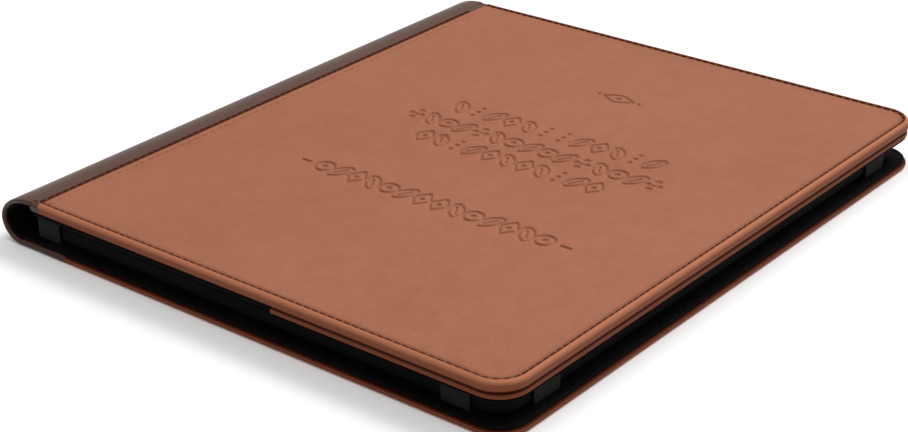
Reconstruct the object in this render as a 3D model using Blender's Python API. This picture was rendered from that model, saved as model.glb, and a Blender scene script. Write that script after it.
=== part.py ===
"""An e-reader in its bound leather folio: a back cover that holds the reader by elastic corner straps,
a soft spine, and a front cover with an easel flap behind its outer part.

Frame: X from the spine to the fore edge, Y along the spine, Z up from the table, and the origin under
the middle of the closed folio. Metres throughout.
"""
import math

import bmesh
import bpy
from mathutils import Matrix, Vector

# ---- Driving dimensions -------------------------------------------------------------------------

GAP = 0.0003                 # clearance between pieces that touch on the real object

COVER_WIDTH = 0.2095         # spine's outer side to the fore edge
COVER_HEIGHT = 0.2340        # along the spine
COVER_CORNER = 0.0105        # outline radius at the fore edge

BACK_EDGE = 0.0020           # height of the back cover's turned leather edge
BACK_LINING = 0.0009
FLAP_THICKNESS = 0.0027
FLAP_EDGE = 0.0020           # height of the flap's turned leather edge
FLAP_INSET = 0.0003          # flap's edge in from the front cover's
FRONT_THICKNESS = 0.0036
LEATHER = 0.0008
TURNED_WALL = 0.0016         # leather turned round a board's edge, with its filler
EDGE_ROLL = 0.0013           # rounding of a turned edge
LINING_INSET = 0.0008        # lining's edge in from the leather's

SPINE_WAIST = 0.0078         # height of the spine's outermost line
SPINE_TOP_REACH = 0.0155     # how far the spine's curve runs in over the front cover
SPINE_BASE_REACH = 0.0090    # and under the back cover
SPINE_LEATHER = 0.0009
SPINE_LINING = 0.0006
FRONT_SEAM = 0.0195          # spine leather meets the front's tan leather, from the spine's outer side
BACK_SEAM = 0.0300
HINGE_DEPTH = 0.0015         # spine's bending lines, in from its outer faces

FLAP_START = 0.1215          # bending line of the easel flap, from the spine's outer side
FIXED_LINING = 0.0013        # padded lining on the rest of the front cover's inner side
BACKING = 0.0004             # thin black skin that closes the front cover behind the flap

DEVICE_WIDTH = 0.1940
DEVICE_HEIGHT = 0.2245
DEVICE_THICKNESS = 0.0064
DEVICE_CORNER = 0.0080
DEVICE_MARGIN = 0.0047       # reader's side to the cover's fore edge
HOUSING_WALL = 0.0013
HOUSING_FLOOR = 0.0010
BEZEL = 0.0008
BEZEL_CHAMFER = 0.0003
BOTTOM_ROUND = 0.0016        # rounding of the housing's lower edge

SCREEN_WIDTH = 0.1572
SCREEN_HEIGHT = 0.2096
SCREEN_SIDE = 0.0100         # narrow bezel, on the spine side
PANEL_BORDER = 0.0015        # panel glass beyond its active area
FRAME_SHEET = 0.0005
FRAME_WINDOW = (0.0380, 0.0320)        # openings that lighten the mid frame
FRAME_WINDOW_PITCH = (0.0480, 0.0420)
FRAME_WINDOWS_Y = -0.0270
PANEL_GLASS = 0.0005
LIGHT_GUIDE = 0.0003
LENS = 0.0008
LENS_RECESS = 0.0003
LIGHT_STRIP = 0.0012

STRAP_THICKNESS = 0.0006
STRAP_SHORT_FORE = (0.0112, 0.0217)    # where a strap crosses the reader's short side, from its corner
STRAP_SHORT_SPINE = (0.0030, 0.0135)
STRAP_LONG_FORE = (0.0128, 0.0250)     # and its long side
STRAP_LONG_SPINE = (0.0088, 0.0210)

KEY_TRAVEL = 0.0004
KEY_SLACK = 0.00045          # from a key at rest to the switch under it
PAGE_KEY = (0.0050, 0.0340)
PAGE_KEY_SPACING = 0.0420
PAGE_KEY_PROUD = 0.0001
DOME = (0.0020, 0.0012, 0.00025)        # a key switch: radius below, radius above, height
KEY_FLANGE = 0.0006
FLANGE_THICKNESS = 0.0003
GRIP_INSET = 0.0110          # page keys' middle, in from the reader's fore side
POWER_KEY = (0.0090, 0.0018)
POWER_KEY_X = 0.0420
POWER_KEY_PROUD = 0.0003
POWER_KEY_RISE = 0.0005      # above the middle of the housing's wall
POWER_SWITCH = (0.0044, 0.0014, 0.0016)
USB_SHELL = (0.0090, 0.0032)
USB_LENGTH = 0.0050
USB_WALL = 0.0003
USB_TONGUE = (0.0067, 0.0007)
TONGUE_SHORT = 0.0010        # the socket's tongue is shorter than its shell
USB_X = -0.0060

BOARD = (0.1200, 0.0420, 0.0006)
BATTERY = (0.1180, 0.0900)
BATTERY_Y = -0.0350
BATTERY_ROUND = 0.0004
BATTERY_CORNER = 0.0030
SHIELD_CANS = ((-0.0300, 0.0240, 0.0200), (0.0050, 0.0300, 0.0240), (0.0360, 0.0160, 0.0160))
CANS_FROM_EDGE = 0.0080
SCREW_FROM_EDGE = 0.0040
BOARD_SCREW = 0.0006         # shank radius
SCREW_HEAD = 0.0012
MAGNET = (0.0030, 0.0200, 0.0012)
MAGNET_PLACE = (0.0120, 0.0300)        # in from the board's fore edge, and along it
RIBBON = 0.0002
FLEX = (-0.0540, -0.0440)    # sides of the display's flat cable, from the board's middle
FLEX_BEND = 0.0018           # the cable's bend, beyond the panel's edge
FLEX_OVER_BOARD = 0.0120
LEAD = (-0.0040, 0.0020)     # sides of the battery's lead, from the board's middle
LEAD_OVER_BOARD = 0.0070
ANTENNA = (-0.0350, 0.0150)
ANTENNA_RISE = 0.0006

ARC_STEPS = 8

# ---- Levels and places that follow --------------------------------------------------------------

SPINE_X = -COVER_WIDTH / 2
FORE_X = COVER_WIDTH / 2
HALF_Y = COVER_HEIGHT / 2

BACK_TOP = BACK_EDGE + GAP + BACK_LINING
DEVICE_Z = BACK_TOP + GAP
DEVICE_TOP = DEVICE_Z + DEVICE_THICKNESS
STRAP_TOP = DEVICE_TOP + GAP + STRAP_THICKNESS
FLAP_Z = STRAP_TOP + GAP
FRONT_Z = FLAP_Z + FLAP_THICKNESS + GAP
TOP = FRONT_Z + FRONT_THICKNESS

DEVICE_X1 = FORE_X - DEVICE_MARGIN
DEVICE_X0 = DEVICE_X1 - DEVICE_WIDTH
DEVICE_Y = DEVICE_HEIGHT / 2
INNER_X0 = DEVICE_X0 + HOUSING_WALL
INNER_X1 = DEVICE_X1 - HOUSING_WALL
INNER_Y = DEVICE_Y - HOUSING_WALL
FLOOR_Z = DEVICE_Z + HOUSING_FLOOR + GAP
BEZEL_Z = DEVICE_TOP - BEZEL
LENS_Z = DEVICE_TOP - LENS_RECESS - LENS
GUIDE_Z = LENS_Z - GAP - LIGHT_GUIDE
PANEL_Z = GUIDE_Z - GAP - PANEL_GLASS
FRAME_Z = PANEL_Z - GAP - FRAME_SHEET
BATTERY_TOP = FRAME_Z - GAP
BOARD_TOP = FLOOR_Z + BOARD[2]
CAN_Z = BOARD_TOP + GAP
CAN_TOP = FRAME_Z - GAP

SCREEN_X0 = DEVICE_X0 + SCREEN_SIDE
SCREEN_X1 = SCREEN_X0 + SCREEN_WIDTH
SCREEN_Y = SCREEN_HEIGHT / 2
PANEL_X0 = SCREEN_X0 - PANEL_BORDER
PANEL_X1 = SCREEN_X1 + PANEL_BORDER
PANEL_Y = SCREEN_Y + PANEL_BORDER

# ---- Tools for building one piece ---------------------------------------------------------------


def outline(x0, x1, half_y, corner, spine_corner=0.0):
    """Rounded outline, anticlockwise, whose corners at x0 may differ from those at x1."""
    points = []
    corners = ((x1, half_y, corner, 0), (x0, half_y, spine_corner, 1),
               (x0, -half_y, spine_corner, 2), (x1, -half_y, corner, 3))
    for x, y, radius, quarter in corners:
        if radius <= 0:
            points.append((x, y))
            continue
        centre_x = x - math.copysign(radius, 1 if x == x1 else -1)
        centre_y = y - math.copysign(radius, y)
        for step in range(ARC_STEPS + 1):
            angle = math.pi / 2 * (quarter + step / ARC_STEPS)
            points.append((centre_x + radius * math.cos(angle), centre_y + radius * math.sin(angle)))
    return points


def at_level(points, z):
    return [Vector((x, y, z)) for x, y in points]


def make_object(name, mesh_builder, colour, roughness, metallic=0.0):
    """A closed, outward-facing object of one finish from a filled bmesh."""
    bmesh.ops.recalc_face_normals(mesh_builder, faces=mesh_builder.faces)
    if mesh_builder.calc_volume(signed=True) < 0:
        bmesh.ops.reverse_faces(mesh_builder, faces=mesh_builder.faces)
    mesh = bpy.data.meshes.new(name)
    mesh_builder.to_mesh(mesh)
    mesh_builder.free()
    mesh.shade_smooth()
    mesh.set_sharp_from_angle(angle=math.radians(35))
    finish = bpy.data.materials.new(name + "_finish")
    finish.use_nodes = True
    shader = finish.node_tree.nodes["Principled BSDF"]
    shader.inputs["Base Color"].default_value = (*colour, 1.0)
    shader.inputs["Roughness"].default_value = roughness
    shader.inputs["Metallic"].default_value = metallic
    mesh.materials.append(finish)
    piece = bpy.data.objects.new(name, mesh)
    bpy.context.scene.collection.objects.link(piece)
    return piece


def loft(name, loops, colour=(0.5, 0.5, 0.5), roughness=0.5, metallic=0.0):
    """Closed body through loops of equal length, capped at the first and the last."""
    builder = bmesh.new()
    rings = [[builder.verts.new(point) for point in loop] for loop in loops]
    count = len(rings[0])
    for lower, upper in zip(rings, rings[1:]):
        for index in range(count):
            following = (index + 1) % count
            builder.faces.new((lower[index], lower[following], upper[following], upper[index]))
    builder.faces.new(rings[0])
    builder.faces.new(rings[-1])
    return make_object(name, builder, colour, roughness, metallic)


def slab(name, x0, x1, half_y, z0, z1, corner, finish, spine_corner=0.0, soft=0.0):
    """Flat plate with a rounded outline; soft rounds its upper and lower edges."""
    def ring(inset, z):
        side = 0.0 if spine_corner == 0.0 else inset
        return at_level(outline(x0 + side, x1 - inset, half_y - inset, corner - inset,
                                max(spine_corner - inset, 0.0)), z)
    if not soft:
        return loft(name, [ring(0, z0), ring(0, z1)], *finish)
    return loft(name, [ring(soft, z0), ring(0.3 * soft, z0 + 0.3 * soft), ring(0, z0 + soft),
                       ring(0, z1 - soft), ring(0.3 * soft, z1 - 0.3 * soft), ring(soft, z1)], *finish)


def box(name, low, high, finish):
    corners = [(low[0], low[1]), (high[0], low[1]), (high[0], high[1]), (low[0], high[1])]
    return loft(name, [at_level(corners, low[2]), at_level(corners, high[2])], *finish)


def centred_box(name, centre, size, finish):
    low = [middle - length / 2 for middle, length in zip(centre, size)]
    high = [middle + length / 2 for middle, length in zip(centre, size)]
    return box(name, low, high, finish)


def cut(piece, cutter):
    """Take cutter's shape out of piece, and keep the cutter as a hidden guide."""
    cutter.hide_render = True
    cutter.display_type = "WIRE"
    knife = piece.modifiers.new("cut_" + cutter.name, "BOOLEAN")
    knife.object = cutter
    knife.operation = "DIFFERENCE"
    knife.solver = "EXACT"


TOOL = ((0.5, 0.5, 0.5), 0.5, 0.0)


def turned_skin(name, x0, x1, corner, face_z, rim_z, half_y, finish, closed_fore=True):
    """Leather over one face of a board and turned round its edges: open at the rim and towards the spine."""
    up = 1 if rim_z > face_z else -1
    roll = min(EDGE_ROLL, abs(rim_z - face_z) * 0.45)

    def ring(inset, z):
        fore = x1 - inset if closed_fore else x1
        return at_level(outline(x0, fore, half_y - inset, max(corner - inset, 0.0)), z)
    skin = loft(name, [ring(roll, face_z), ring(0.3 * roll, face_z + up * 0.3 * roll),
                       ring(0, face_z + up * roll), ring(0, rim_z - up * roll),
                       ring(0.3 * roll, rim_z - up * 0.3 * roll), ring(roll, rim_z)], *finish)
    overrun = 0.004
    inner_fore = x1 - TURNED_WALL if closed_fore else x1 + overrun
    inner = outline(x0 - overrun, inner_fore, half_y - TURNED_WALL, max(corner - TURNED_WALL, 0.0))
    cutter = loft(name + "_hollow", [at_level(inner, face_z + up * LEATHER),
                                     at_level(inner, rim_z + up * overrun)])
    cut(skin, cutter)
    return skin


def joint_empty(name, place):
    empty = bpy.data.objects.new(name, None)
    empty.location = place
    bpy.context.scene.collection.objects.link(empty)
    return empty


def hang(empty, *pieces):
    for piece in pieces:
        piece.parent = empty
        piece.matrix_parent_inverse = Matrix.Translation(-Vector(empty.location))


for leftover in list(bpy.data.objects):
    bpy.data.objects.remove(leftover, do_unlink=True)

# Finishes: colour, roughness, metallic.
TAN_LEATHER = ((0.42, 0.16, 0.09), 0.48, 0.0)
BROWN_LEATHER = ((0.045, 0.024, 0.020), 0.42, 0.0)
BLACK_LINING = ((0.012, 0.011, 0.013), 0.85, 0.0)
GREY_BOARD = ((0.30, 0.28, 0.25), 0.90, 0.0)
ELASTIC = ((0.035, 0.033, 0.036), 0.80, 0.0)
BLACK_PLASTIC = ((0.012, 0.012, 0.013), 0.45, 0.0)
STEEL = ((0.60, 0.60, 0.62), 0.30, 1.0)
CIRCUIT_GREEN = ((0.01, 0.08, 0.04), 0.45, 0.0)
FOIL = ((0.35, 0.36, 0.38), 0.35, 0.9)
FILM_AMBER = ((0.30, 0.13, 0.02), 0.40, 0.0)
PAPER_WHITE = ((0.62, 0.62, 0.58), 0.70, 0.0)
CLEAR = ((0.80, 0.85, 0.88), 0.08, 0.0)

# ---- Back cover ---------------------------------------------------------------------------------

BACK_STRIP_X0 = SPINE_X + SPINE_BASE_REACH + GAP
BACK_SEAM_X = SPINE_X + BACK_SEAM

turned_skin("back_leather", BACK_SEAM_X + GAP / 2, FORE_X, COVER_CORNER, 0.0, BACK_EDGE, HALF_Y, TAN_LEATHER)
turned_skin("back_spine_strip", BACK_STRIP_X0, BACK_SEAM_X - GAP / 2, 0.0, 0.0, BACK_EDGE, HALF_Y,
            BROWN_LEATHER, closed_fore=False)
slab("back_board", BACK_STRIP_X0, FORE_X - TURNED_WALL - GAP, HALF_Y - TURNED_WALL - GAP,
     LEATHER + GAP, BACK_EDGE, COVER_CORNER - TURNED_WALL - GAP, GREY_BOARD)
slab("back_lining", BACK_STRIP_X0, FORE_X - LINING_INSET, HALF_Y - LINING_INSET,
     BACK_EDGE + GAP, BACK_TOP, COVER_CORNER - LINING_INSET, BLACK_LINING)

# ---- Corner straps ------------------------------------------------------------------------------


def corner_strap(name, toward_x, toward_y, short_span, long_span):
    """Elastic band over one corner of the reader: up one side, across the top, and down the other."""
    corner_x = DEVICE_X1 if toward_x > 0 else DEVICE_X0
    inner_top = DEVICE_TOP + GAP
    foot = BACK_TOP + GAP
    inner, outer = GAP, GAP + STRAP_THICKNESS

    def on_short(reach, z, distance):
        return Vector((corner_x - toward_x * distance, toward_y * (DEVICE_Y + reach), z))

    def on_long(reach, z, distance):
        return Vector((corner_x + toward_x * reach, toward_y * (DEVICE_Y - distance), z))

    loops = []
    for place, span, levels in ((on_short, short_span, (foot, inner_top)),
                                (on_long, long_span, (inner_top, foot))):
        for z in levels:
            raised = STRAP_THICKNESS if z == inner_top else 0.0
            loops.append([place(inner, z, span[0]), place(inner, z, span[1]),
                          place(outer, z + raised, span[1]), place(outer, z + raised, span[0])])
    return loft(name, loops, *ELASTIC)


for end, toward_y in (("near", -1), ("far", 1)):
    corner_strap("corner_strap_" + end + "_fore", 1, toward_y, STRAP_SHORT_FORE, STRAP_LONG_FORE)
    corner_strap("corner_strap_" + end + "_spine", -1, toward_y, STRAP_SHORT_SPINE, STRAP_LONG_SPINE)

# ---- Spine --------------------------------------------------------------------------------------


def spine_curve(depth):
    """The spine's section at a depth below its outer face: two quarter ellipses that meet at its waist."""
    points = []
    for step in range(ARC_STEPS + 1):
        angle = math.pi / 2 * step / ARC_STEPS
        points.append((SPINE_X + SPINE_TOP_REACH - (SPINE_TOP_REACH - depth) * math.sin(angle),
                       SPINE_WAIST + (TOP - SPINE_WAIST - depth) * math.cos(angle)))
    for step in range(1, ARC_STEPS + 1):
        angle = math.pi / 2 * step / ARC_STEPS
        points.append((SPINE_X + SPINE_BASE_REACH - (SPINE_BASE_REACH - depth) * math.cos(angle),
                       SPINE_WAIST - (SPINE_WAIST - depth) * math.sin(angle)))
    return points


def spine_sheet(name, depth, thickness, half_y, finish):
    section = spine_curve(depth) + spine_curve(depth + thickness)[::-1]
    return loft(name, [[Vector((x, y, z)) for x, z in section] for y in (-half_y, half_y)], *finish)


spine_leather = spine_sheet("spine_leather", 0.0, SPINE_LEATHER, HALF_Y, BROWN_LEATHER)
spine_lining = spine_sheet("spine_lining", SPINE_LEATHER + GAP, SPINE_LINING, HALF_Y - LINING_INSET,
                           BLACK_LINING)
spine_joint = joint_empty("spine_joint", (SPINE_X + HINGE_DEPTH, 0.0, HINGE_DEPTH))
hang(spine_joint, spine_leather, spine_lining)

# ---- Front cover --------------------------------------------------------------------------------

FRONT_STRIP_X0 = SPINE_X + SPINE_TOP_REACH + GAP
FRONT_SEAM_X = SPINE_X + FRONT_SEAM
BACKING_TOP = FRONT_Z + BACKING
BOARD_FORE_X = FORE_X - TURNED_WALL - GAP
BOARD_HALF_Y = HALF_Y - TURNED_WALL - GAP
BOARD_CORNER = COVER_CORNER - TURNED_WALL - GAP
FLAP_X = SPINE_X + FLAP_START

front_leather = turned_skin("front_leather", FRONT_SEAM_X + GAP / 2, FORE_X, COVER_CORNER, TOP, FRONT_Z,
                            HALF_Y, TAN_LEATHER)
front_spine_strip = turned_skin("front_spine_strip", FRONT_STRIP_X0, FRONT_SEAM_X - GAP / 2, 0.0, TOP,
                                FRONT_Z, HALF_Y, BROWN_LEATHER, closed_fore=False)
front_board = slab("front_board", FRONT_STRIP_X0, BOARD_FORE_X, BOARD_HALF_Y, BACKING_TOP + GAP,
                   TOP - LEATHER - GAP, BOARD_CORNER, GREY_BOARD)
front_backing = slab("front_backing", FRONT_STRIP_X0, BOARD_FORE_X, BOARD_HALF_Y, FRONT_Z, BACKING_TOP,
                     BOARD_CORNER, BLACK_LINING)
front_lining = slab("front_lining", FRONT_STRIP_X0, FLAP_X - GAP, HALF_Y - LINING_INSET,
                    FRONT_Z - GAP - FIXED_LINING, FRONT_Z - GAP, 0.0, BLACK_LINING)

magnet_middle = (BOARD_FORE_X - MAGNET_PLACE[0], MAGNET_PLACE[1], (BACKING_TOP + TOP - LEATHER) / 2)
sleep_magnet = centred_box("sleep_magnet", magnet_middle, MAGNET, STEEL)
magnet_pocket = centred_box("magnet_pocket", magnet_middle,
                            (MAGNET[0] + 2 * GAP, MAGNET[1] + 2 * GAP, FRONT_THICKNESS), TOOL)
cut(front_board, magnet_pocket)

front_joint = joint_empty("front_joint", (SPINE_X + HINGE_DEPTH, 0.0, TOP - HINGE_DEPTH))
hang(front_joint, front_leather, front_spine_strip, front_board, front_backing, front_lining, sleep_magnet)

# ---- Easel flap ---------------------------------------------------------------------------------

FLAP_TOP = FLAP_Z + FLAP_THICKNESS
FLAP_LINING_TOP = FLAP_TOP - FLAP_EDGE - GAP
flap_x0 = FLAP_X + GAP
flap_fore = FORE_X - FLAP_INSET
flap_half_y = HALF_Y - FLAP_INSET

flap_leather = turned_skin("flap_leather", flap_x0, flap_fore, COVER_CORNER - FLAP_INSET, FLAP_TOP,
                           FLAP_TOP - FLAP_EDGE, flap_half_y, TAN_LEATHER)
flap_board = slab("flap_board", flap_x0, flap_fore - TURNED_WALL - GAP, flap_half_y - TURNED_WALL - GAP,
                  FLAP_TOP - FLAP_EDGE, FLAP_TOP - LEATHER - GAP, BOARD_CORNER - FLAP_INSET, GREY_BOARD)
flap_lining = slab("flap_lining", flap_x0, flap_fore - LINING_INSET / 2, flap_half_y - LINING_INSET / 2,
                   FLAP_Z, FLAP_LINING_TOP, COVER_CORNER - LINING_INSET, BLACK_LINING)
flap_joint = joint_empty("flap_joint", (FLAP_X, 0.0, FLAP_Z))
hang(flap_joint, flap_leather, flap_board, flap_lining)

# ---- Reader's housing ---------------------------------------------------------------------------


def device_ring(inset, z):
    return at_level(outline(DEVICE_X0 + inset, DEVICE_X1 - inset, DEVICE_Y - inset,
                            max(DEVICE_CORNER - inset, 0.001), max(DEVICE_CORNER - inset, 0.001)), z)


housing_top = BEZEL_Z - GAP
rear_housing = loft("rear_housing", [
    device_ring(BOTTOM_ROUND, DEVICE_Z),
    device_ring(0.3 * BOTTOM_ROUND, DEVICE_Z + 0.3 * BOTTOM_ROUND),
    device_ring(0, DEVICE_Z + BOTTOM_ROUND),
    device_ring(0, housing_top),
    device_ring(HOUSING_WALL, housing_top),
    device_ring(HOUSING_WALL, DEVICE_Z + BOTTOM_ROUND),
    device_ring(HOUSING_WALL + 0.6 * BOTTOM_ROUND, DEVICE_Z + HOUSING_FLOOR),
], *BLACK_PLASTIC)

power_z = (DEVICE_Z + housing_top) / 2 + POWER_KEY_RISE
usb_z = FLOOR_Z + GAP + USB_SHELL[1] / 2
wall_middle = DEVICE_Y - HOUSING_WALL / 2
cut(rear_housing, centred_box("power_slot", (POWER_KEY_X, wall_middle, power_z),
                              (POWER_KEY[0] + 2 * GAP, 2 * HOUSING_WALL, POWER_KEY[1] + 2 * GAP), TOOL))
cut(rear_housing, centred_box("usb_slot", (USB_X, wall_middle, usb_z),
                              (USB_SHELL[0] + 2 * GAP, 2 * HOUSING_WALL, USB_SHELL[1] + 2 * GAP), TOOL))

front_bezel = loft("front_bezel", [device_ring(0, BEZEL_Z), device_ring(0, DEVICE_TOP - BEZEL_CHAMFER),
                                   device_ring(BEZEL_CHAMFER, DEVICE_TOP)], *BLACK_PLASTIC)
cut(front_bezel, box("screen_window", (SCREEN_X0, -SCREEN_Y, BEZEL_Z - BEZEL),
                     (SCREEN_X1, SCREEN_Y, DEVICE_TOP + BEZEL), TOOL))

# ---- Display stack ------------------------------------------------------------------------------

box("touch_lens", (SCREEN_X0 + GAP, -SCREEN_Y + GAP, LENS_Z),
    (SCREEN_X1 - GAP, SCREEN_Y - GAP, LENS_Z + LENS), CLEAR)
box("light_guide", (SCREEN_X0, -SCREEN_Y, GUIDE_Z), (SCREEN_X1, SCREEN_Y, GUIDE_Z + LIGHT_GUIDE), CLEAR)
box("light_strip", (SCREEN_X0, -PANEL_Y - LIGHT_STRIP, GUIDE_Z),
    (SCREEN_X1, -SCREEN_Y - GAP, GUIDE_Z + LIGHT_GUIDE), FILM_AMBER)
box("epaper_panel", (PANEL_X0, -PANEL_Y, PANEL_Z), (PANEL_X1, PANEL_Y, PANEL_Z + PANEL_GLASS), PAPER_WHITE)
mid_frame = box("mid_frame", (PANEL_X0, -PANEL_Y, FRAME_Z),
                (PANEL_X1, PANEL_Y, FRAME_Z + FRAME_SHEET), STEEL)
for row in (-1, 0):
    for column in (-1, 0, 1):
        name = "frame_window_%d_%d" % (row + 1, column + 1)
        centre = ((SCREEN_X0 + SCREEN_X1) / 2 + column * FRAME_WINDOW_PITCH[0],
                  FRAME_WINDOWS_Y + row * FRAME_WINDOW_PITCH[1], FRAME_Z)
        cut(mid_frame, centred_box(name, centre, (*FRAME_WINDOW, 4 * FRAME_SHEET), TOOL))

# ---- Power: battery, charging socket, power key -------------------------------------------------

battery_x = (SCREEN_X0 + SCREEN_X1) / 2
slab("battery", battery_x - BATTERY[0] / 2, battery_x + BATTERY[0] / 2, BATTERY[1] / 2,
     FLOOR_Z, BATTERY_TOP, BATTERY_CORNER, FOIL, spine_corner=BATTERY_CORNER,
     soft=BATTERY_ROUND).location.y = BATTERY_Y

usb_y = DEVICE_Y - GAP - USB_LENGTH / 2
usb_port = centred_box("usb_port", (USB_X, usb_y, usb_z), (USB_SHELL[0], USB_LENGTH, USB_SHELL[1]), STEEL)
mouth = (USB_SHELL[0] - 2 * USB_WALL, USB_LENGTH, USB_SHELL[1] - 2 * USB_WALL)
usb_mouth = centred_box("usb_mouth", (USB_X, usb_y + 2 * USB_WALL, usb_z), mouth, TOOL)
tongue = centred_box("usb_tongue", (USB_X, usb_y, usb_z),
                     (USB_TONGUE[0], USB_LENGTH - TONGUE_SHORT, USB_TONGUE[1]), TOOL)
cut(usb_mouth, tongue)
cut(usb_port, usb_mouth)

POWER_FLANGE_Y = DEVICE_Y - HOUSING_WALL - GAP
power_button = centred_box("power_button", (POWER_KEY_X, (DEVICE_Y + POWER_KEY_PROUD + POWER_FLANGE_Y) / 2,
                                            power_z),
                           (POWER_KEY[0], DEVICE_Y + POWER_KEY_PROUD - POWER_FLANGE_Y, POWER_KEY[1]),
                           BLACK_PLASTIC)
power_flange = centred_box("power_flange", (POWER_KEY_X, POWER_FLANGE_Y - FLANGE_THICKNESS / 2, power_z),
                           (POWER_KEY[0] + 2 * KEY_FLANGE, FLANGE_THICKNESS + GAP / 100,
                            POWER_KEY[1] + 2 * KEY_FLANGE), TOOL)
power_flange.hide_render = True
power_flange.display_type = "WIRE"
joined = power_button.modifiers.new("flange", "BOOLEAN")
joined.object = power_flange
joined.operation = "UNION"
joined.solver = "EXACT"
switch_y = POWER_FLANGE_Y - FLANGE_THICKNESS - KEY_SLACK
centred_box("power_switch", (POWER_KEY_X, switch_y - POWER_SWITCH[1] / 2, power_z), POWER_SWITCH, STEEL)
hang(joint_empty("power_joint", (POWER_KEY_X, DEVICE_Y, power_z)), power_button)

# ---- Electronics --------------------------------------------------------------------------------

board_x = battery_x
board_y1 = DEVICE_Y - GAP - USB_LENGTH - 2 * GAP
board_y0 = board_y1 - BOARD[1]
main_board = box("main_board", (board_x - BOARD[0] / 2, board_y0, FLOOR_Z),
                 (board_x + BOARD[0] / 2, board_y1, BOARD_TOP), CIRCUIT_GREEN)
can_y0 = board_y0 + CANS_FROM_EDGE
for number, (offset, width, depth) in enumerate(SHIELD_CANS):
    box("shield_can_%d" % (number + 1), (board_x + offset - width / 2, can_y0, CAN_Z),
        (board_x + offset + width / 2, can_y0 + depth, CAN_TOP), STEEL)


def turned_loop(x, y, radius, z, steps=16):
    return [Vector((x + radius * math.cos(2 * math.pi * step / steps),
                    y + radius * math.sin(2 * math.pi * step / steps), z)) for step in range(steps)]


for number, (side, end) in enumerate(((-1, 0), (1, 0), (-1, 1), (1, 1))):
    screw_x = board_x + side * (BOARD[0] / 2 - SCREW_FROM_EDGE)
    screw_y = (board_y0 + SCREW_FROM_EDGE, board_y1 - SCREW_FROM_EDGE)[end]
    hole = loft("board_hole_%d" % (number + 1),
                [turned_loop(screw_x, screw_y, BOARD_SCREW + GAP, z) for z in (FLOOR_Z - GAP, CAN_Z)])
    cut(main_board, hole)
    loft("board_screw_%d" % (number + 1),
         [turned_loop(screw_x, screw_y, BOARD_SCREW, FLOOR_Z),
          turned_loop(screw_x, screw_y, BOARD_SCREW, CAN_Z),
          turned_loop(screw_x, screw_y, SCREW_HEAD, CAN_Z),
          turned_loop(screw_x, screw_y, SCREW_HEAD, (CAN_Z + CAN_TOP) / 2)], *STEEL)


def ribbon(name, x0, x1, path, thickness, finish):
    """Flat cable of one width that follows a path in Y and Z, given as the middle line's points."""
    upper, lower = [], []
    for index, point in enumerate(path):
        before = path[max(index - 1, 0)]
        after = path[min(index + 1, len(path) - 1)]
        along = (Vector(point) - Vector(before)).normalized() + (Vector(after) - Vector(point)).normalized()
        across = Vector((-along[1], along[0])).normalized()
        stretch = thickness / 2
        if 0 < index < len(path) - 1:
            stretch *= math.sqrt(2)
        upper.append(Vector(point) + across * stretch)
        lower.append(Vector(point) - across * stretch)
    section = upper + lower[::-1]
    return loft(name, [[Vector((x, point[0], point[1])) for point in section] for x in (x0, x1)], *finish)


flex_bend_y = PANEL_Y + FLEX_BEND
flex_top = PANEL_Z + PANEL_GLASS / 2
flex_low = CAN_Z + RIBBON / 2
ribbon("display_flex", board_x + FLEX[0], board_x + FLEX[1],
       [(PANEL_Y + GAP, flex_top), (flex_bend_y, flex_top), (flex_bend_y, flex_low),
        (board_y1 - FLEX_OVER_BOARD, flex_low)], RIBBON, FILM_AMBER)
battery_edge = BATTERY_Y + BATTERY[1] / 2
ribbon("battery_lead", board_x + LEAD[0], board_x + LEAD[1],
       [(battery_edge + GAP, flex_low), (board_y0 + LEAD_OVER_BOARD, flex_low)], RIBBON, FILM_AMBER)
box("antenna", (board_x + ANTENNA[0], -INNER_Y + GAP, FLOOR_Z + ANTENNA_RISE),
    (board_x + ANTENNA[1], -INNER_Y + 2 * GAP, FRAME_Z + FRAME_SHEET), FILM_AMBER)

# ---- Page keys ----------------------------------------------------------------------------------

page_x = DEVICE_X1 - GRIP_INSET
PAGE_FLANGE_Z = BEZEL_Z - GAP - FLANGE_THICKNESS
DOME_TOP = PAGE_FLANGE_Z - KEY_SLACK
DOME_BASE = DOME_TOP - DOME[2]
KEY_BOARD_TOP = DOME_BASE - GAP


def key_ring(middle_y, grow, z):
    half_x, half_y = PAGE_KEY[0] / 2 + grow, PAGE_KEY[1] / 2 + grow
    corner = PAGE_KEY[0] / 3 + grow
    loop = outline(-half_x, half_x, half_y, corner, corner)
    return [Vector((page_x + x, middle_y + y, z)) for x, y in loop]


for label, side in (("lower", -1), ("upper", 1)):
    middle = side * PAGE_KEY_SPACING / 2
    cut(front_bezel, loft("key_slot_" + label, [key_ring(middle, GAP, BEZEL_Z - GAP),
                                                key_ring(middle, GAP, DEVICE_TOP + GAP)]))
    key = loft("page_button_" + label, [
        key_ring(middle, KEY_FLANGE, PAGE_FLANGE_Z),
        key_ring(middle, KEY_FLANGE, PAGE_FLANGE_Z + FLANGE_THICKNESS),
        key_ring(middle, 0, PAGE_FLANGE_Z + FLANGE_THICKNESS),
        key_ring(middle, 0, DEVICE_TOP - PAGE_KEY_PROUD),
        key_ring(middle, -BEZEL_CHAMFER, DEVICE_TOP + PAGE_KEY_PROUD)], *BLACK_PLASTIC)
    loft("page_switch_" + label, [turned_loop(page_x, middle, DOME[0], DOME_BASE),
                                  turned_loop(page_x, middle, DOME[1], DOME_TOP)], *STEEL)
    hang(joint_empty("page_joint_" + label, (page_x, middle, DEVICE_TOP)), key)

centred_box("page_key_board", (page_x, 0.0, KEY_BOARD_TOP - BOARD[2] / 2),
            (PAGE_KEY[0], 2 * PAGE_KEY_SPACING, BOARD[2]), CIRCUIT_GREEN)
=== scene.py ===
import math

import bmesh
import bpy
import numpy as np
from mathutils import Matrix, Vector


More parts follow.
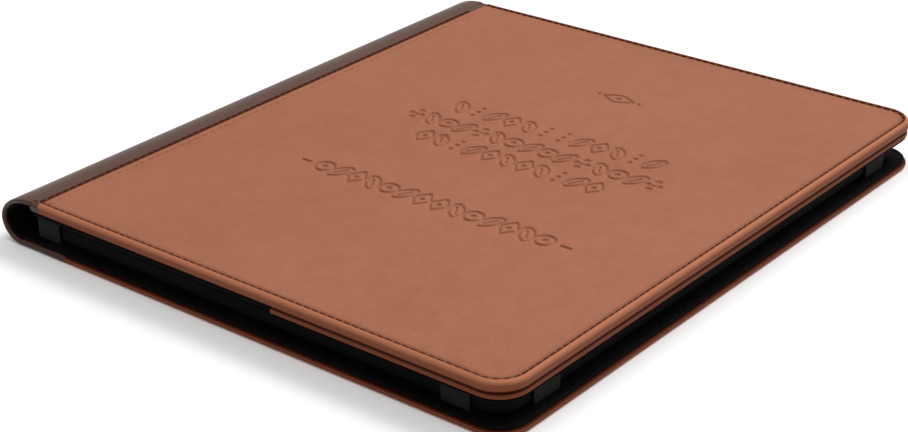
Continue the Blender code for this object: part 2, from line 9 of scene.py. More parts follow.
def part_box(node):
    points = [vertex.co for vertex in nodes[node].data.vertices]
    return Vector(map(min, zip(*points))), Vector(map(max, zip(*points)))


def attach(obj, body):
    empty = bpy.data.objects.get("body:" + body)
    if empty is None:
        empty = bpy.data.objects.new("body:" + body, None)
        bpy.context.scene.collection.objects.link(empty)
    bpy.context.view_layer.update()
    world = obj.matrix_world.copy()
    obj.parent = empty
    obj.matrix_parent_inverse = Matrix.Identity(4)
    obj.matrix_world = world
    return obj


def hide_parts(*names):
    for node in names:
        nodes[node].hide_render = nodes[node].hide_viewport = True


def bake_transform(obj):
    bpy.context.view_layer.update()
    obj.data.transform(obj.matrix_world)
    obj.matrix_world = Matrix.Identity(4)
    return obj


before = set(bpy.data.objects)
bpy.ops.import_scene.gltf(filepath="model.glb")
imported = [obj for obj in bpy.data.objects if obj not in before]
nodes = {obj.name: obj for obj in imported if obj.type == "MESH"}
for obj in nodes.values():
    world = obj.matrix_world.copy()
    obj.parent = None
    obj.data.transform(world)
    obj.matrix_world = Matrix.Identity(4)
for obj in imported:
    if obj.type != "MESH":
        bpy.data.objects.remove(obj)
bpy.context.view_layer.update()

# ---- Back cover ----------------------------------------------------------------------------------
# A grey board in tan faux leather, which is turned round its edges, rolled and stitched down. The leather
# is polyurethane on a knitted backing: a fine pebbled grain, a satin face and a slightly mottled dye.


class Wire:
    """One socket of a finish's node tree. Arithmetic on wires adds the Math nodes for it."""

    def __init__(self, tree, socket):
        self.tree = tree
        self.socket = socket

    def node(self, kind, settings, inputs, output=0):
        """Add a node: its settings first, a ramp's stops among them, then its sockets' values or links."""
        made = self.tree.nodes.new(kind)
        for name, value in settings.items():
            if name == "stops":
                ramp = made.color_ramp
                ramp.elements[0].position, ramp.elements[0].color = value[0][0], value[0][1]
                ramp.elements[1].position, ramp.elements[1].color = value[-1][0], value[-1][1]
                for place, colour in value[1:-1]:
                    ramp.elements.new(place).color = colour
            else:
                setattr(made, name, value)
        for name, value in inputs.items():
            if isinstance(value, Wire):
                self.tree.links.new(value.socket, made.inputs[name])
            else:
                made.inputs[name].default_value = value
        return Wire(self.tree, made.outputs[output])

    def maths(self, operation, first, second=0.0):
        return self.node("ShaderNodeMath", {"operation": operation}, {0: first, 1: second})

    def __add__(self, other):
        return self.maths("ADD", self, other)

    def __sub__(self, other):
        return self.maths("SUBTRACT", self, other)

    def __mul__(self, other):
        return self.maths("MULTIPLY", self, other)

    def __rsub__(self, other):
        return self.maths("SUBTRACT", other, self)

    __radd__ = __add__
    __rmul__ = __mul__

    def mixed(self, low, high):
        """The colour between two colours that this value chooses, from low at 0 to high at 1."""
        return self.node("ShaderNodeMix", {"data_type": "RGBA", "clamp_factor": True},
                         {0: self, 6: low, 7: high}, output=2)

    def between(self, low, high):
        """This value's place between low and high, from 0 to 1."""
        limits = {"Value": self, "From Min": low, "From Max": high}
        return self.node("ShaderNodeMapRange", {"clamp": True}, limits)


def finish(name, roughness=0.5, metallic=0.0, **constants):
    """A new Principled finish, its shader, and the wire of object coordinates to build patterns from."""
    material = bpy.data.materials.new(name)
    material.use_nodes = True
    shader = material.node_tree.nodes["Principled BSDF"]
    shader.inputs["Roughness"].default_value = roughness
    shader.inputs["Metallic"].default_value = metallic
    for socket, value in constants.items():
        shader.inputs[socket.replace("_", " ")].default_value = value
    coordinates = material.node_tree.nodes.new("ShaderNodeTexCoord")
    return material, shader, Wire(material.node_tree, coordinates.outputs["Object"])


def drive(shader, socket, wire):
    """Let a wire set one of the shader's inputs."""
    wire.tree.links.new(wire.socket, shader.inputs[socket])


def noise(place, scale, detail=3.0, roughness=0.55):
    return place.node("ShaderNodeTexNoise", {}, {"Vector": place, "Scale": scale, "Detail": detail,
                                                 "Roughness": roughness})


def mark(place, name):
    """A value that the mesh carries at its points, such as how deep a groove is."""
    return place.node("ShaderNodeAttribute", {"attribute_name": name}, {}, output="Fac")


def bumped(shader, height, distance, strength=1.0):
    """Give the surface fine relief from a height wire; distance is the height of 1, in metres."""
    drive(shader, "Normal", height.node("ShaderNodeBump", {}, {"Height": height, "Distance": distance,
                                                              "Strength": strength}))


def faux_leather(name, deep, middle, light, roughness, painted_shade_tint, shine, end_y=None):
    """Pebbled faux leather. Painted shade darkens the stitched grooves, the ornament's far walls, the flap
    edge's upper side and the last part of an edge beside the lining, and darkens and warms the rolled edges'
    sides; painted highlights lighten the rolled edges' crests and the ornament's near walls. The ornament's
    floor is a little deeper in tone. Beyond end_y, on the ends of a strip, it has the rolled edges' painted
    shade."""
    material, shader, place = finish(name, Specular_IOR_Level=shine, Specular_Tint=(1.0, 0.80, 0.72, 1))
    clouds = noise(place, 17.0, 3.0).between(0.34, 0.68)
    mottle = noise(place, 150.0, 4.0, 0.65).between(0.30, 0.72)
    specks = noise(place, 900.0, 2.0).between(0.35, 0.70)
    tone = clouds * 0.16 + mottle * 0.26 + specks * 0.20 + 0.19
    colour = tone.node("ShaderNodeValToRGB", {"stops": ((0.12, deep), (0.50, middle), (0.90, light))},
                       {"Fac": tone})
    # Painted highlight: lighter on the rolled edges' crests and on the ornament's near walls.
    colour = mark(place, "worn").mixed(colour, (1.30 * light[0], 1.18 * light[1], 1.00 * light[2], 1))
    # Painted shade: the rolled edges' sides are darker and warmer below the face.
    colour = (mark(place, "rolled") * 0.97).mixed(colour, painted_shade_tint)
    # Painted shade: a strip's ends take the rolled edges' dark tint.
    if end_y:
        y = place.node("ShaderNodeSeparateXYZ", {}, {"Vector": place}, output="Y")
        colour = place.maths("ABSOLUTE", y).between(end_y - 0.0004, end_y).mixed(colour, painted_shade_tint)
    # Painted shade in the grooves, on the ornament's far walls, on the flap edge and beside the lining, with
    # a little deeper tone on the ornament's floor.
    colour = mark(place, "pressed").mixed(colour, tuple(0.40 * part for part in painted_shade_tint[:3]) + (1.0,))
    drive(shader, "Base Color", colour)
    pebbles = place.node("ShaderNodeTexVoronoi", {"feature": "SMOOTH_F1"},
                         {"Vector": place, "Scale": 1500.0, "Smoothness": 0.6})
    creases = noise(place, 420.0, 5.0, 0.7)
    grain = pebbles * 0.55 + creases * 0.45
    drive(shader, "Roughness", mottle * 0.10 + specks * 0.06 + (roughness - 0.08))
    bumped(shader, grain, 0.00006, 0.55)
    return material


# Its last colour is the painted shade tint for the rolled sides, the grooves and the ornament's far walls.
tan_leather = faux_leather("tan_leather", (0.273, 0.096, 0.050, 1), (0.320, 0.122, 0.067, 1),
                           (0.360, 0.144, 0.083, 1), 0.56, (0.112, 0.020, 0.004, 1), 0.08)


LEATHER_SKIN = 0.0008
HEM = 0.0016
ROLL = 0.0014
GROOVE = 0.0019                         # the stitched groove's inset from the outline
GROOVE_DEPTH = 0.00036
GROOVE_SLOPES = (0.00090, 0.00050)      # how far it spreads, towards the face and towards the edge
GROOVE_SHADE_REACHES = (0.00115, 0.00065)       # how far its painted shade spreads, the same two ways
EDGE_MARGIN = 0.0021                    # face beyond the groove that belongs to the edge's own rings
WELT = 0.00026                          # how far the rolled edge stands above the face
WELT_SPREAD = 0.00040
CREST = 0.0009                          # the painted highlight along the top of the rolled edge
CREST_SPREAD = 0.0005
RAW_MARGIN = 0.0012                     # the same on the side where the leather ends at a seam
FACE_GRID = 0.0040
FINE_GRID = 0.00036
THIN_ROW = 0.0012                       # a narrow row at each end of the face, as a share of its half width
COVER_CORNER = 0.0105
CORNER_STEPS = 10


def edge_profile(height, roll, groove, groove_depth, welt_rise, skin, hem):
    """The turned edge's section, as (inset from the outline, depth below the face), from the flat face,
    over the stitched groove and the rolled edge, to the hem on the other side and up to the skin's inside."""
    section = []
    for step in range(8):
        inset = groove + EDGE_MARGIN - step * (groove + EDGE_MARGIN - roll) / 8
        spread = GROOVE_SLOPES[0] if inset > groove else GROOVE_SLOPES[1]
        section.append((inset, groove_depth * math.exp(-((inset - groove) / spread) ** 2)))
    for step in range(7):
        angle = math.pi / 2 * step / 6
        inset = roll * (1 - math.sin(angle))
        welt = welt_rise * math.exp(-((inset - 0.62 * groove) / WELT_SPREAD) ** 2)
        section.append((inset, roll * (1 - math.cos(angle)) - welt))
    under = min(roll, height - roll) * 0.8
    for step in range(1, 7):
        angle = math.pi / 2 * step / 6
        section.append((under * (1 - math.cos(angle)), height - under * (1 - math.sin(angle))))
    section.append((hem, height))
    section.append((hem, skin))
    return section


def raw_edge_profile(count, skin, hem):
    """The same number of points for the side where the leather ends at a seam: a small rounded fold."""
    fold = 0.42 * skin
    section = []
    for step in range(8):
        section.append((RAW_MARGIN - step * (RAW_MARGIN - fold) / 8, 0.0))
    for step in range(7):
        angle = math.pi / 2 * step / 6
        section.append((fold * (1 - math.sin(angle)), fold * (1 - math.cos(angle))))
    rest = count - len(section) - 2
    for step in range(1, rest + 1):
        angle = math.pi / 2 * step / rest
        section.append((fold * (1 - math.cos(angle)), skin - fold * (1 - math.sin(angle))))
    section.append(((fold + hem) / 2, skin))
    section.append((hem, skin))
    return section


def spaced(start, end, step):
    """Evenly spaced places from start up to, but not including, end."""
    count = max(1, round((end - start) / step))
    return [start + (end - start) * index / count for index in range(count)]


def grid_places(start, end, coarse, dense_spans=()):
    """Places from start to end, a coarse step apart, and a fine one inside the dense spans."""
    places = []
    here = start
    for low, high in dense_spans:
        places += spaced(here, low, coarse) + spaced(low, high, FINE_GRID)
        here = high
    return places + spaced(here, end, coarse) + [end]


def leather_panel(name, node, seam_overlap, face_up, corner, dense_x=(), dense_y=(), relief=None, welt=WELT):
    """Leather over one face of a board, as a closed skin with its turned, rolled and grooved edge.
    relief gives the extra height, the darkening that is painted shade (with the ornament floor's slightly
    deeper tone), and the painted highlight, at places on the face."""
    low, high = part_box(node)
    x0, x1, half_y = low.x - seam_overlap, high.x, high.y
    side = 1 if face_up else -1
    face, height = (high.z if face_up else low.z), high.z - low.z
    outer = edge_profile(height, min(ROLL, 0.55 * height), GROOVE, GROOVE_DEPTH, welt, LEATHER_SKIN, HEM)
    seam = raw_edge_profile(len(outer), LEATHER_SKIN, HEM)
    margin, seam_margin = outer[0][0], seam[0][0]
    arc_x, arc_y = x1 - corner, half_y - corner
    straight = grid_places(x0 + seam_margin, arc_x, FACE_GRID, dense_x)
    rows = grid_places(-half_y + margin, half_y - margin, FACE_GRID, dense_y)
    shares = [y / (half_y - margin) for y in rows]
    shares[1:1] = [shares[0] + THIN_ROW]
    shares[-1:-1] = [shares[-1] - THIN_ROW]
    turns = [math.pi / 2 * step / CORNER_STEPS for step in range(1, CORNER_STEPS + 1)]
    across, along = len(straight) + len(turns), len(shares)

    def column(index, inset, seam_inset):
        """A column's X and the half length there, at an inset from the outline."""
        if index == 0:
            return x0 + seam_inset, half_y - inset
        if index < len(straight):
            return straight[index], half_y - inset
        turn = turns[index - len(straight)]
        return arc_x + (corner - inset) * math.sin(turn), arc_y + (corner - inset) * math.cos(turn)

    points = []
    for index in range(across):
        x, reach = column(index, margin, seam_margin)
        points += [(x, share * reach, 0.0) for share in shares]
    loop = [index * along for index in range(across)]
    loop += [(across - 1) * along + row for row in range(1, along - 1)]
    loop += [index * along + along - 1 for index in reversed(range(across))]
    loop += list(reversed(range(1, along - 1)))
    rings = [loop]
    for (inset, depth), (seam_inset, seam_depth) in zip(outer[1:], seam[1:]):
        ring = []
        for index in range(across):
            x, reach = column(index, inset, seam_inset)
            ring.append((x, -reach, depth))
        ring += [(x1 - inset, share * arc_y, depth) for share in shares[1:-1]]
        for index in reversed(range(across)):
            x, reach = column(index, inset, seam_inset)
            ring.append((x, reach, depth))
        ring += [(x0 + seam_inset, share * (half_y - inset), seam_depth) for share in shares[-2:0:-1]]
        rings.append(range(len(points), len(points) + len(ring)))
        points += ring
    faces = []
    for index in range(across - 1):
        for row in range(along - 1):
            corner_vertex = index * along + row
            faces.append((corner_vertex, corner_vertex + along, corner_vertex + along + 1, corner_vertex + 1))
    for inner, outer_ring in zip(rings, rings[1:]):
        for index in range(len(loop)):
            after = (index + 1) % len(loop)
            faces.append((inner[index], outer_ring[index], outer_ring[after], inner[after]))
    faces.append(tuple(reversed(rings[-1])))

    places = np.array(points)
    depth = places[:, 2].copy()
    on_face = np.clip(1 - depth / LEATHER_SKIN, 0, 1)
    pressed = np.zeros(len(places))
    raised = np.zeros(len(places))
    painted_wall_highlight = np.zeros(len(places))
    if relief:
        raised, pressed, painted_wall_highlight = relief(places[:, 0], places[:, 1], x0)
    places[:, 2] = face - side * depth + side * raised * on_face
    edge_distance = np.minimum.reduce([half_y - np.abs(places[:, 1]), x1 - places[:, 0]])
    in_corner = (places[:, 0] > arc_x) & (np.abs(places[:, 1]) > arc_y)
    corner_distance = corner - np.hypot(places[:, 0] - arc_x, np.abs(places[:, 1]) - arc_y)
    edge_distance = np.where(in_corner, corner_distance, edge_distance)
    # Painted shade along the stitched groove, spreading further towards the face.
    groove_shade_reach = np.where(edge_distance > GROOVE, GROOVE_SHADE_REACHES[0], GROOVE_SHADE_REACHES[1])
    groove_shade_mask = np.exp(-((edge_distance - GROOVE) / groove_shade_reach) ** 2) * (depth < 0.5 * ROLL)
    # Down the edge, painted shade darkens and warms the side below the face, a paler line near the far side
    # is a painted highlight, and the last part, which is tucked in beside the lining, is darkened as painted
    # shade.
    down = depth / height
    rolled = np.clip((down - 0.16) / 0.34, 0, 1) - 0.40 * np.exp(-((down - 0.74) / 0.06) ** 2)
    tucked = np.clip((down - 0.84) / 0.08, 0, 1)
    # A painted highlight along the crest of the rolled edge.
    worn = np.exp(-((edge_distance - CREST) / CREST_SPREAD) ** 2) * np.clip(1 - down / 0.25, 0, 1)
    mesh = bpy.data.meshes.new(name)
    mesh.from_pydata(places.tolist(), [], faces)
    if side < 0:
        mesh.flip_normals()
    worn = np.clip(worn + painted_wall_highlight * on_face, 0, 1)
    # Painted shade: the ornament's far walls, the stitched groove and the part beside the lining, with a
    # little deeper tone on the ornament's floor.
    pressed = np.clip(0.16 * pressed * on_face + 0.54 * groove_shade_mask + 0.9 * tucked, 0, 1)
    for label, values in (("pressed", pressed), ("rolled", rolled), ("worn", worn)):
        mesh.attributes.new(label, "FLOAT", "POINT").data.foreach_set("value", values.astype(np.float32))
    mesh.shade_smooth()
    mesh.set_sharp_from_angle(angle=math.radians(50))
    panel = bpy.data.objects.new(name, mesh)
    bpy.context.scene.collection.objects.link(panel)
    return panel


def dress(piece, material, body, slot, *replaced):
    """Give a finished piece its finish, its body, and the CAD pieces that it stands for. The slot is not
    used.
    """
    piece.data.materials.clear()
    piece.data.materials.append(material)
    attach(piece, body)
    if replaced:
        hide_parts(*replaced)
    return piece


def cover_node(material, *names):
    """A new finish on CAD pieces that stay as they are."""
    for name in names:
        nodes[name].data.materials.clear()
        nodes[name].data.materials.append(material)


SEAM_OVERLAP = 0.00015          # how far the tan leather laps over the brown strip
BACK_WELT = 0.00004             # the back lies flat on the table
back_panel = leather_panel("back_cover_leather", "back_leather", SEAM_OVERLAP, False, COVER_CORNER,
                           welt=BACK_WELT)
dress(back_panel, tan_leather, "base", "tan_leather", "back_leather")

# The stitches: waxed polyester thread, one bowed length from hole to hole, sunk a little at both ends.


def thread(name, deep, light):
    """Twisted thread, in diagonal bands from painted shade between its strands to the thread's colour on
    them.
    """
    material, shader, place = finish(name, roughness=0.72, Specular_IOR_Level=0.10)
    twist = place.node("ShaderNodeTexWave", {"bands_direction": "DIAGONAL"},
                       {"Vector": place, "Scale": 900.0, "Distortion": 1.5, "Detail": 1.0})
    drive(shader, "Base Color", twist.between(0.1, 0.9).mixed(deep, light))
    bumped(shader, twist, 0.00008, 0.7)
    return material


dark_thread = thread("dark_thread", (0.052, 0.011, 0.004, 1), (0.098, 0.022, 0.008, 1))
russet_thread = thread("russet_thread", (0.210, 0.060, 0.026, 1), (0.310, 0.098, 0.046, 1))
black_thread = thread("black_thread", (0.0012, 0.0012, 0.0014, 1), (0.0035, 0.0034, 0.0036, 1))


def stitch_tree(material):
    """Nodes that lay stitches along a line, an equal way apart, each turned a little off the line."""
    tree = bpy.data.node_groups.new("stitches", "GeometryNodeTree")
    tree.interface.new_socket("Line", in_out="INPUT", socket_type="NodeSocketGeometry")
    for label in ("Pitch", "Length", "Thickness", "Bow"):
        tree.interface.new_socket(label, in_out="INPUT", socket_type="NodeSocketFloat")
    tree.interface.new_socket("Stitches", in_out="OUTPUT", socket_type="NodeSocketGeometry")
    entry = tree.nodes.new("NodeGroupInput")
    lay = Wire(tree, entry.outputs["Line"])
    pitch, length, thickness, bow = (Wire(tree, entry.outputs[label])
                                     for label in ("Pitch", "Length", "Thickness", "Bow"))
    line = lay.node("GeometryNodeMeshToCurve", {}, {"Mesh": lay})
    spots = lay.node("GeometryNodeResampleCurve", {"mode": "LENGTH"}, {"Curve": line, "Length": pitch})
    half = length * 0.5

    def point(x, z):
        return lay.node("ShaderNodeCombineXYZ", {}, {"X": x, "Z": z})

    bend = lay.node("GeometryNodeCurveQuadraticBezier", {},
                    {"Resolution": 6, "Start": point(half * -1.0, bow * -1.0),
                     "Middle": point(0.0, bow * 1.6), "End": point(half, bow * -1.0)})
    round_section = lay.node("GeometryNodeCurvePrimitiveCircle", {},
                             {"Resolution": 7, "Radius": thickness * 0.5})
    one = lay.node("GeometryNodeCurveToMesh", {}, {"Curve": bend, "Profile Curve": round_section,
                                                  "Fill Caps": True})
    tangent = lay.node("GeometryNodeInputTangent", {}, {})
    heading = lay.node("FunctionNodeAlignRotationToVector", {"axis": "X", "pivot_axis": "Z"},
                       {"Vector": tangent})
    wander = lay.node("FunctionNodeRandomValue", {"data_type": "FLOAT"}, {2: -0.10, 3: 0.04, "Seed": 5},
                      output=1)
    slant = lay.node("ShaderNodeCombineXYZ", {}, {"Z": wander})
    turned = lay.node("FunctionNodeRotateRotation", {"rotation_space": "LOCAL"},
                      {"Rotation": heading, "Rotate By": lay.node("FunctionNodeEulerToRotation", {},
                                                                  {"Euler": slant})})
    laid = lay.node("GeometryNodeInstanceOnPoints", {},
                    {"Points": spots, "Instance": one, "Rotation": turned})
    plain = lay.node("GeometryNodeRealizeInstances", {}, {"Geometry": laid})
    smooth = lay.node("GeometryNodeSetShadeSmooth", {}, {"Geometry": plain})
    done = lay.node("GeometryNodeSetMaterial", {}, {"Geometry": smooth, "Material": material})
    leave = tree.nodes.new("NodeGroupOutput")
    tree.links.new(done.socket, leave.inputs[0])
    return tree


def stitch_row(name, line, body, slot, material, pitch=0.0031, length=0.0019, thickness=0.00072, bow=0.00010):
    """A row of stitches along a line of points, as one plain mesh that moves with a body."""
    path = bpy.data.meshes.new(name + "_line")
    path.from_pydata([tuple(point) for point in line], [(i, i + 1) for i in range(len(line) - 1)], [])
    guide = bpy.data.objects.new(name + "_guide", path)
    bpy.context.scene.collection.objects.link(guide)
    sewing = guide.modifiers.new("sewing", "NODES")
    sewing.node_group = stitch_tree(material)
    sockets = {item.name: item.identifier for item in sewing.node_group.interface.items_tree
               if item.in_out == "INPUT"}
    for label, value in (("Pitch", pitch), ("Length", length), ("Thickness", thickness), ("Bow", bow)):
        sewing[sockets[label]] = value
    view = bpy.context.evaluated_depsgraph_get()
    sewn = bpy.data.meshes.new_from_object(guide.evaluated_get(view))
    bpy.data.objects.remove(guide, do_unlink=True)
    row = bpy.data.objects.new(name, sewn)
    bpy.context.scene.collection.objects.link(row)
    return dress(row, material, body, slot)


def edge_line(node, start_x, inset, z):
    """The line of an edge seam: along the near side, round the fore edge's corners, and back."""
    low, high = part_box(node)
    arc_x, arc_y, radius = high.x - COVER_CORNER, high.y - COVER_CORNER, COVER_CORNER - inset
    near = [(x, -high.y + inset, z) for x in spaced(start_x, arc_x, 0.004)]
    for step in range(17):
        turn = math.pi / 2 * step / 16
        near.append((arc_x + radius * math.sin(turn), -arc_y - radius * math.cos(turn), z))
    return near + [(x, -y, z) for x, y, z in reversed(near)]


THREAD_RISE = 0.00024           # from a groove's floor to the middle of the thread
BACK_THREAD_LIFT = 0.00042      # keeps the thread of the back above the table
back_seam_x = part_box("back_spine_strip")[0].x + 0.004
back_thread_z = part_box("back_leather")[0].z + BACK_THREAD_LIFT
stitch_row("back_edge_stitches", edge_line("back_leather", back_seam_x, GROOVE, back_thread_z),
           "base", "tan_leather", dark_thread, bow=0.00008)

# ---- Linings and boards --------------------------------------------------------------------------
# Black microfibre over thin foam lines every inner face, and raw grey board stiffens the covers. The
# lining's edge is turned in, so it shows as a soft, slightly shiny line beside the leather.


def microfibre(name, deep, light):
    """Soft matt cloth with a brushed nap."""
    material, shader, place = finish(name, Specular_IOR_Level=0.05)
    nap = noise(place, 60.0, 4.0, 0.6).between(0.32, 0.70)
    fibres = noise(place, 2600.0, 3.0, 0.7)
    drive(shader, "Base Color", (nap * 0.6 + fibres * 0.4).mixed(deep, light))
    drive(shader, "Roughness", nap * 0.12 + 0.74)
    bumped(shader, fibres, 0.00010, 0.6)
    return material


lining_cloth = microfibre("lining_cloth", (0.0014, 0.0012, 0.0015, 1), (0.0040, 0.0037, 0.0044, 1))

board_stuff, board_shader, board_place = finish("cover_board", roughness=0.92, Specular_IOR_Level=0.2)
board_fibres = noise(board_place, 800.0, 5.0, 0.7)
drive(board_shader, "Base Color", board_fibres.mixed((0.22, 0.20, 0.17, 1), (0.34, 0.32, 0.28, 1)))
bumped(board_shader, board_fibres, 0.00010, 0.5)

cover_node(board_stuff, "back_board", "front_board", "flap_board")
cover_node(lining_cloth, "front_backing")


def soft_sheet(name, node, corner, roll, spine_corner=0.0):
    """A lining sheet in its CAD place, with rounded edges; the corners at the spine may be square."""
    low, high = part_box(node)
    middle_x, middle_y = (low.x + high.x) / 2, (low.y + high.y) / 2
    rounds = ((high.x, high.y, corner, 0), (low.x, high.y, spine_corner, 1),
              (low.x, low.y, spine_corner, 2), (high.x, low.y, corner, 3))

    def ring(inset, z):
        loop = []
        for x, y, radius, quarter in rounds:
            radius = max(radius, roll * 1.01) - inset
            towards_x, towards_y = (1 if x > middle_x else -1), (1 if y > middle_y else -1)
            for step in range(9):
                angle = math.pi / 2 * (quarter + step / 8)
                loop.append((x - towards_x * (radius + inset) + radius * math.cos(angle),
                             y - towards_y * (radius + inset) + radius * math.sin(angle), z))
        return loop

    rings = []
    for step in range(5):
        angle = math.pi / 2 * step / 4
        rings.append(ring(roll * (1 - math.sin(angle)), low.z + roll * (1 - math.cos(angle))))
    for step in range(5):
        angle = math.pi / 2 * step / 4
        rings.append(ring(roll * (1 - math.cos(angle)), high.z - roll * (1 - math.sin(angle))))
    count = len(rings[0])
    faces = [tuple(range(count))[::-1], tuple(range(count * 9, count * 10))]
    for level in range(9):
        for index in range(count):
            after = (index + 1) % count
            faces.append((level * count + index, level * count + after,
                          (level + 1) * count + after, (level + 1) * count + index))
    mesh = bpy.data.meshes.new(name)
    mesh.from_pydata([point for loop in rings for point in loop], [], faces)
    mesh.shade_smooth()
    mesh.set_sharp_from_angle(angle=math.radians(50))
    sheet = bpy.data.objects.new(name, mesh)
    bpy.context.scene.collection.objects.link(sheet)
    return sheet


dress(soft_sheet("back_cover_lining", "back_lining", COVER_CORNER - 0.0008, 0.00040),
      lining_cloth, "base", "black_lining", "back_lining")
back_lining_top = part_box("back_lining")[1].z
stitch_row("back_lining_stitches", edge_line("back_leather", back_seam_x, GROOVE, back_lining_top),
           "base", "black_lining", black_thread, thickness=0.00030)

# ---- Corner straps -------------------------------------------------------------------------------
# Four dark grey elastic bands hold the reader by its corners. Each is a flat rib-woven band that comes up
# through the lining, bends over the reader's edge, crosses the corner and goes down the other side.

elastic_web, elastic_shader, elastic_place = finish("elastic_web", roughness=0.80, Specular_IOR_Level=0.2)
ribs = elastic_place.node("ShaderNodeUVMap", {"uv_map": "weave"}, {})
rib_waves = ribs.node("ShaderNodeTexWave", {"bands_direction": "Y"}, {"Vector": ribs, "Scale": 4.5})
picks = ribs.node("ShaderNodeTexWave", {"bands_direction": "X"},
                  {"Vector": ribs, "Scale": 14.0, "Distortion": 0.6})
elastic_height = rib_waves * 0.65 + picks * 0.35
web_colour = elastic_height.mixed((0.0035, 0.0032, 0.0033, 1), (0.0130, 0.0120, 0.0115, 1))
drive(elastic_shader, "Base Color", web_colour)
bumped(elastic_shader, elastic_height, 0.00018, 0.8)


def outward_faces(mesh):
    """Turn every face of a closed mesh outwards."""
    shell = bmesh.new()
    shell.from_mesh(mesh)
    bmesh.ops.recalc_face_normals(shell, faces=shell.faces)
    if shell.calc_volume(signed=True) < 0:
        bmesh.ops.reverse_faces(shell, faces=shell.faces)
    shell.to_mesh(mesh)
    shell.free()


def elastic_band(name, node, towards_x, towards_y):
    """A band along its CAD strap's path, with round bends and a thin rounded section, and a UV along it."""
    low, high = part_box(node)
    corners = np.array([vertex.co[:] for vertex in nodes[node].data.vertices])
    thick = 0.00058
    side_y = high.y if towards_y > 0 else low.y
    side_x = high.x if towards_x > 0 else low.x
    on_short = corners[np.abs(corners[:, 1] - side_y) < 1e-5][:, 0]
    on_long = corners[np.abs(corners[:, 0] - side_x) < 1e-5][:, 1]
    short = sorted((on_short.min(), on_short.max()), key=lambda x: -towards_x * x)
    long = sorted((on_long.min(), on_long.max()), key=lambda y: -towards_y * y)
    bend = 0.0011
    middle_x = side_x - towards_x * thick / 2
    middle_y = side_y - towards_y * thick / 2
    middle_z = high.z - thick / 2
    sections = []
    for step in range(5):
        z = low.z + (middle_z - bend - low.z) * step / 5
        sections.append([Vector((x, middle_y, z)) for x in short])
    for step in range(7):
        angle = math.pi / 2 * step / 6
        drop, back = bend * (1 - math.sin(angle)), bend * (1 - math.cos(angle))
        sections.append([Vector((x, middle_y - towards_y * back, middle_z - drop)) for x in short])
    for step in reversed(range(7)):
        angle = math.pi / 2 * step / 6
        drop, back = bend * (1 - math.sin(angle)), bend * (1 - math.cos(angle))
        sections.append([Vector((middle_x - towards_x * back, y, middle_z - drop)) for y in long])
    for step in reversed(range(5)):
        z = low.z + (middle_z - bend - low.z) * step / 5
        sections.append([Vector((middle_x, y, z)) for y in long])
    centres = [(first + second) / 2 for first, second in sections]
    points, uvs = [], []
    travelled = 0.0
    lanes = [0.0, 0.02, 0.08, 0.25, 0.42, 0.58, 0.75, 0.92, 0.98, 1.0]
    for index, (first, second) in enumerate(sections):
        before, after = centres[max(index - 1, 0)], centres[min(index + 1, len(centres) - 1)]
        if index:
            travelled += (centres[index] - centres[index - 1]).length
        normal = (second - first).cross(after - before).normalized()
        outward = Vector((towards_x, towards_y, 1.0))
        if normal.dot(outward) < 0:
            normal = -normal
        for face in (1, -1):
            for lane in (lanes if face > 0 else reversed(lanes)):
                edge = min(lane, 1 - lane) * 12
                half = thick / 2 * math.sqrt(max(0.0, 1 - max(0.0, 1 - edge) ** 2) + 0.06)
                points.append(first.lerp(second, lane) + normal * face * half)
                uvs.append((travelled * 100, lane))
    around = 2 * len(lanes)
    faces = [tuple(range(around)), tuple(range((len(sections) - 1) * around, len(sections) * around))[::-1]]
    for level in range(len(sections) - 1):
        for index in range(around):
            after = (index + 1) % around
            faces.append((level * around + index, (level + 1) * around + index,
                          (level + 1) * around + after, level * around + after))
    mesh = bpy.data.meshes.new(name)
    mesh.from_pydata([tuple(point) for point in points], [], faces)
    weave = mesh.uv_layers.new(name="weave")
    for polygon in mesh.polygons:
        for corner in polygon.loop_indices:
            weave.data[corner].uv = uvs[mesh.loops[corner].vertex_index]
    band = bpy.data.objects.new(name, mesh)
    bpy.context.scene.collection.objects.link(band)
    outward_faces(mesh)
    mesh.shade_smooth()
    mesh.set_sharp_from_angle(angle=math.radians(60))
    return dress(band, elastic_web, "base", "elastic", node)


for end, towards_y in (("near", -1), ("far", 1)):
    for place, towards_x in (("spine", -1), ("fore", 1)):
        corner_name = "%s_%s" % (end, place)
        elastic_band("elastic_" + corner_name, "corner_strap_" + corner_name, towards_x, towards_y)

# ---- Reader --------------------------------------------------------------------------------------
# A thin reader: a moulded housing and bezel in soft-touch black, a matte anti-glare lens over the paper-like
# panel, two page keys beside the screen, and a power key and a charging socket in the far side.


def moulded(name, deep, light, roughness):
    """Moulded plastic with a fine spark-eroded grain."""
    material, shader, place = finish(name, Specular_IOR_Level=0.06)
    spark = noise(place, 3200.0, 2.0)
    drift = noise(place, 30.0, 3.0).between(0.3, 0.7)
    drive(shader, "Base Color", (drift * 0.6 + spark * 0.4).mixed(deep, light))
    drive(shader, "Roughness", drift * 0.08 + (roughness - 0.04))
    bumped(shader, spark, 0.00004, 0.5)
    return material


soft_black = moulded("soft_touch_black", (0.0008, 0.0008, 0.0009, 1), (0.0020, 0.0020, 0.0022, 1), 0.66)
key_black = moulded("key_black", (0.006, 0.006, 0.0065, 1), (0.011, 0.011, 0.012, 1), 0.42)
cover_node(soft_black, "rear_housing", "front_bezel")
cover_node(key_black, "power_button", "page_button_lower", "page_button_upper")


def metal(name, colour, dark, roughness):
    """Thin sheet metal, faintly streaked."""
    material, shader, place = finish(name, metallic=1.0)
    streaks = noise(place, 700.0, 4.0, 0.7)
    drive(shader, "Base Color", streaks.mixed(dark, colour))
    drive(shader, "Roughness", streaks * 0.16 + (roughness - 0.08))
    bumped(shader, streaks, 0.00003, 0.4)
    return material


